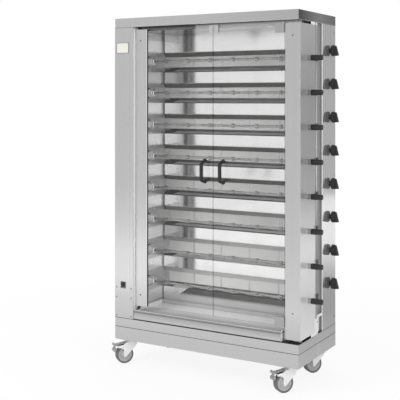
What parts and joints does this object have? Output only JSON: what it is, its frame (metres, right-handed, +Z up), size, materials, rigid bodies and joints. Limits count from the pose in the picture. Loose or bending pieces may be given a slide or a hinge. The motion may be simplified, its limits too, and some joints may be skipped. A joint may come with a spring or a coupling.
{
  "type": "vertical rotisserie",
  "caption": "Tall gas rotisserie cabinet on casters: glass doors, stacked spits on a chain drive, burners behind them, gas knobs on the side and a pull-out drip tray.",
  "frame": {"origin": "on the floor below the middle of the cabinet", "axes": "+Z up, -Y to the glass doors, +X to the side with the spit grips and gas knobs"},
  "size_m": [1.1783, 0.5458, 1.884],
  "materials": {
    "brushed_steel": "brushed stainless sheet",
    "polished_steel": "polished stainless sheet",
    "burner_steel": "dull stainless sheet",
    "burner_ceramic": "unglazed pierced plate",
    "gas_brass": "plain",
    "motor_paint": "matt paint",
    "dark_steel": "oiled steel",
    "spit_steel": "stainless rod, dark from heat",
    "zinc_plate": "bright zinc",
    "door_glass": "clear toughened glass",
    "black_plastic": "moulded, satin",
    "caster_grey": "grey tread on a grey hub"
  },
  "bodies": {
    "cabinet": {"trolley_frame": "brushed_steel", "base_pan": "brushed_steel", "roof_cap": "brushed_steel", "column_casing": "brushed_steel", "column_cover": "brushed_steel", "back_panel": "brushed_steel", "chamber_walls": "polished_steel", "reflector_panels": "polished_steel", "burner_boxes": "burner_steel", "burner_tiles": "burner_ceramic", "side_panel": "brushed_steel", "corner_post": "brushed_steel", "gas_train": "gas_brass", "gear_motor": "motor_paint", "drive_chain": "dark_steel", "bearing_flanges": "dark_steel", "door_hardware": "zinc_plate", "screws": "zinc_plate"},
    "left_door": {"left_stile": "brushed_steel", "left_glass": "door_glass", "left_pull": "black_plastic"},
    "right_door": {"right_fittings": "zinc_plate", "right_glass": "door_glass", "right_pull": "black_plastic"},
    "drip_tray": {"drip_tray": "polished_steel"},
    "rocker": {"rocker": "black_plastic"},
    "drive_1": {"drive_socket_1": "dark_steel"},
    "spit_1": {"spit_1": "spit_steel"},
    "gas_knob_1": {"gas_knob_1": "black_plastic"},
    "drive_2": {"drive_socket_2": "dark_steel"},
    "spit_2": {"spit_2": "spit_steel"},
    "gas_knob_2": {"gas_knob_2": "black_plastic"},
    "drive_3": {"drive_socket_3": "dark_steel"},
    "spit_3": {"spit_3": "spit_steel"},
    "gas_knob_3": {"gas_knob_3": "black_plastic"},
    "drive_4": {"drive_socket_4": "dark_steel"},
    "spit_4": {"spit_4": "spit_steel"},
    "gas_knob_4": {"gas_knob_4": "black_plastic"},
    "drive_5": {"drive_socket_5": "dark_steel"},
    "spit_5": {"spit_5": "spit_steel"},
    "gas_knob_5": {"gas_knob_5": "black_plastic"},
    "drive_6": {"drive_socket_6": "dark_steel"},
    "spit_6": {"spit_6": "spit_steel"},
    "gas_knob_6": {"gas_knob_6": "black_plastic"},
    "drive_7": {"drive_socket_7": "dark_steel"},
    "spit_7": {"spit_7": "spit_steel"},
    "gas_knob_7": {"gas_knob_7": "black_plastic"},
    "drive_8": {"drive_socket_8": "dark_steel"},
    "spit_8": {"spit_8": "spit_steel"},
    "gas_knob_8": {"gas_knob_8": "black_plastic"},
    "caster_fork_front_left": {"caster_fork_front_left": "zinc_plate"},
    "caster_wheel_front_left": {"caster_wheel_front_left": "caster_grey"},
    "brake_pedal_front_left": {"brake_pedal_front_left": "dark_steel"},
    "caster_fork_front_right": {"caster_fork_front_right": "zinc_plate"},
    "caster_wheel_front_right": {"caster_wheel_front_right": "caster_grey"},
    "brake_pedal_front_right": {"brake_pedal_front_right": "dark_steel"},
    "caster_fork_rear_left": {"caster_fork_rear_left": "zinc_plate"},
    "caster_wheel_rear_left": {"caster_wheel_rear_left": "caster_grey"},
    "caster_fork_rear_right": {"caster_fork_rear_right": "zinc_plate"},
    "caster_wheel_rear_right": {"caster_wheel_rear_right": "caster_grey"}
  },
  "joints": [
    {"name": "left_door_hinge", "type": "hinge", "parent": "cabinet", "child": "left_door", "pos_m": [-0.416, -0.215, 1.0725], "axis": [0, 0, -1], "range_deg": [0, 90]},
    {"name": "right_door_hinge", "type": "hinge", "parent": "cabinet", "child": "right_door", "pos_m": [0.457, -0.2187, 1.0725], "axis": [0, 0, 1], "range_deg": [0, 90]},
    {"name": "drip_tray_slide", "type": "slide", "parent": "cabinet", "child": "drip_tray", "axis": [0, -1, 0], "range_m": [0, 0.23]},
    {"name": "rocker_tilt", "type": "hinge", "parent": "cabinet", "child": "rocker", "pos_m": [-0.492, -0.242, 0.432], "axis": [-1, 0, 0], "range_deg": [0, 14]},
    {"name": "drive_1_spin", "type": "hinge", "parent": "cabinet", "child": "drive_1", "pos_m": [-0.407, -0.12, 1.6505], "axis": [1, 0, 0], "continuous": true},
    {"name": "spit_1_pull", "type": "slide", "parent": "drive_1", "child": "spit_1", "axis": [1, 0, 0], "range_m": [0, 0.04]},
    {"name": "gas_knob_1_turn", "type": "hinge", "parent": "cabinet", "child": "gas_knob_1", "pos_m": [0.547, 0.169, 1.69865], "axis": [1, 0, 0], "range_deg": [0, 180]},
    {"name": "drive_2_spin", "type": "hinge", "parent": "cabinet", "child": "drive_2", "pos_m": [-0.407, -0.12, 1.478], "axis": [1, 0, 0], "continuous": true},
    {"name": "spit_2_pull", "type": "slide", "parent": "drive_2", "child": "spit_2", "axis": [1, 0, 0], "range_m": [0, 0.04]},
    {"name": "gas_knob_2_turn", "type": "hinge", "parent": "cabinet", "child": "gas_knob_2", "pos_m": [0.547, 0.169, 1.52425], "axis": [1, 0, 0], "range_deg": [0, 180]},
    {"name": "drive_3_spin", "type": "hinge", "parent": "cabinet", "child": "drive_3", "pos_m": [-0.407, -0.12, 1.3055], "axis": [1, 0, 0], "continuous": true},
    {"name": "spit_3_pull", "type": "slide", "parent": "drive_3", "child": "spit_3", "axis": [1, 0, 0], "range_m": [0, 0.04]},
    {"name": "gas_knob_3_turn", "type": "hinge", "parent": "cabinet", "child": "gas_knob_3", "pos_m": [0.547, 0.169, 1.34985], "axis": [1, 0, 0], "range_deg": [0, 180]},
    {"name": "drive_4_spin", "type": "hinge", "parent": "cabinet", "child": "drive_4", "pos_m": [-0.407, -0.12, 1.133], "axis": [1, 0, 0], "continuous": true},
    {"name": "spit_4_pull", "type": "slide", "parent": "drive_4", "child": "spit_4", "axis": [1, 0, 0], "range_m": [0, 0.04]},
    {"name": "gas_knob_4_turn", "type": "hinge", "parent": "cabinet", "child": "gas_knob_4", "pos_m": [0.547, 0.169, 1.17545], "axis": [1, 0, 0], "range_deg": [0, 180]},
    {"name": "drive_5_spin", "type": "hinge", "parent": "cabinet", "child": "drive_5", "pos_m": [-0.407, -0.12, 0.9605], "axis": [1, 0, 0], "continuous": true},
    {"name": "spit_5_pull", "type": "slide", "parent": "drive_5", "child": "spit_5", "axis": [1, 0, 0], "range_m": [0, 0.04]},
    {"name": "gas_knob_5_turn", "type": "hinge", "parent": "cabinet", "child": "gas_knob_5", "pos_m": [0.547, 0.169, 1.00105], "axis": [1, 0, 0], "range_deg": [0, 180]},
    {"name": "drive_6_spin", "type": "hinge", "parent": "cabinet", "child": "drive_6", "pos_m": [-0.407, -0.12, 0.788], "axis": [1, 0, 0], "continuous": true},
    {"name": "spit_6_pull", "type": "slide", "parent": "drive_6", "child": "spit_6", "axis": [1, 0, 0], "range_m": [0, 0.04]},
    {"name": "gas_knob_6_turn", "type": "hinge", "parent": "cabinet", "child": "gas_knob_6", "pos_m": [0.547, 0.169, 0.82665], "axis": [1, 0, 0], "range_deg": [0, 180]},
    {"name": "drive_7_spin", "type": "hinge", "parent": "cabinet", "child": "drive_7", "pos_m": [-0.407, -0.12, 0.6155], "axis": [1, 0, 0], "continuous": true},
    {"name": "spit_7_pull", "type": "slide", "parent": "drive_7", "child": "spit_7", "axis": [1, 0, 0], "range_m": [0, 0.04]},
    {"name": "gas_knob_7_turn", "type": "hinge", "parent": "cabinet", "child": "gas_knob_7", "pos_m": [0.547, 0.169, 0.65225], "axis": [1, 0, 0], "range_deg": [0, 180]},
    {"name": "drive_8_spin", "type": "hinge", "parent": "cabinet", "child": "drive_8", "pos_m": [-0.407, -0.12, 0.443], "axis": [1, 0, 0], "continuous": true},
    {"name": "spit_8_pull", "type": "slide", "parent": "drive_8", "child": "spit_8", "axis": [1, 0, 0], "range_m": [0, 0.04]},
    {"name": "gas_knob_8_turn", "type": "hinge", "parent": "cabinet", "child": "gas_knob_8", "pos_m": [0.547, 0.169, 0.47785], "axis": [1, 0, 0], "range_deg": [0, 180]},
    {"name": "caster_front_left_swivel", "type": "hinge", "parent": "cabinet", "child": "caster_fork_front_left", "pos_m": [-0.478, -0.182, 0.1217], "axis": [0, 0, 1], "continuous": true},
    {"name": "caster_front_left_roll", "type": "hinge", "parent": "caster_fork_front_left", "child": "caster_wheel_front_left", "pos_m": [-0.50386, -0.2151, 0.0475], "axis": [0.788, -0.6157, 0], "continuous": true},
    {"name": "brake_front_left_press", "type": "hinge", "parent": "caster_fork_front_left", "child": "brake_pedal_front_left", "pos_m": [-0.50386, -0.2151, 0.1047], "axis": [0.788, -0.6157, 0], "range_deg": [0, 5]},
    {"name": "caster_front_right_swivel", "type": "hinge", "parent": "cabinet", "child": "caster_fork_front_right", "pos_m": [0.478, -0.182, 0.1217], "axis": [0, 0, 1], "continuous": true},
    {"name": "caster_front_right_roll", "type": "hinge", "parent": "caster_fork_front_right", "child": "caster_wheel_front_right", "pos_m": [0.45214, -0.2151, 0.0475], "axis": [0.788, -0.6157, 0], "continuous": true},
    {"name": "brake_front_right_press", "type": "hinge", "parent": "caster_fork_front_right", "child": "brake_pedal_front_right", "pos_m": [0.45214, -0.2151, 0.1047], "axis": [0.788, -0.6157, 0], "range_deg": [0, 5]},
    {"name": "caster_rear_left_swivel", "type": "hinge", "parent": "cabinet", "child": "caster_fork_rear_left", "pos_m": [-0.478, 0.182, 0.1217], "axis": [0, 0, 1], "continuous": true},
    {"name": "caster_rear_left_roll", "type": "hinge", "parent": "caster_fork_rear_left", "child": "caster_wheel_rear_left", "pos_m": [-0.4449, 0.15614, 0.0475], "axis": [0.6157, 0.788, 0], "continuous": true},
    {"name": "caster_rear_right_swivel", "type": "hinge", "parent": "cabinet", "child": "caster_fork_rear_right", "pos_m": [0.478, 0.182, 0.1217], "axis": [0, 0, 1], "continuous": true},
    {"name": "caster_rear_right_roll", "type": "hinge", "parent": "caster_fork_rear_right", "child": "caster_wheel_rear_right", "pos_m": [0.45214, 0.1489, 0.0475], "axis": [0.788, -0.6157, 0], "continuous": true}
  ],
  "couplings": [
    {"joint": "drive_2_spin", "follows": "drive_1_spin", "ratio": 1},
    {"joint": "drive_3_spin", "follows": "drive_1_spin", "ratio": 1},
    {"joint": "drive_4_spin", "follows": "drive_1_spin", "ratio": 1},
    {"joint": "drive_5_spin", "follows": "drive_1_spin", "ratio": 1},
    {"joint": "drive_6_spin", "follows": "drive_1_spin", "ratio": 1},
    {"joint": "drive_7_spin", "follows": "drive_1_spin", "ratio": 1},
    {"joint": "drive_8_spin", "follows": "drive_1_spin", "ratio": 1}
  ]
}
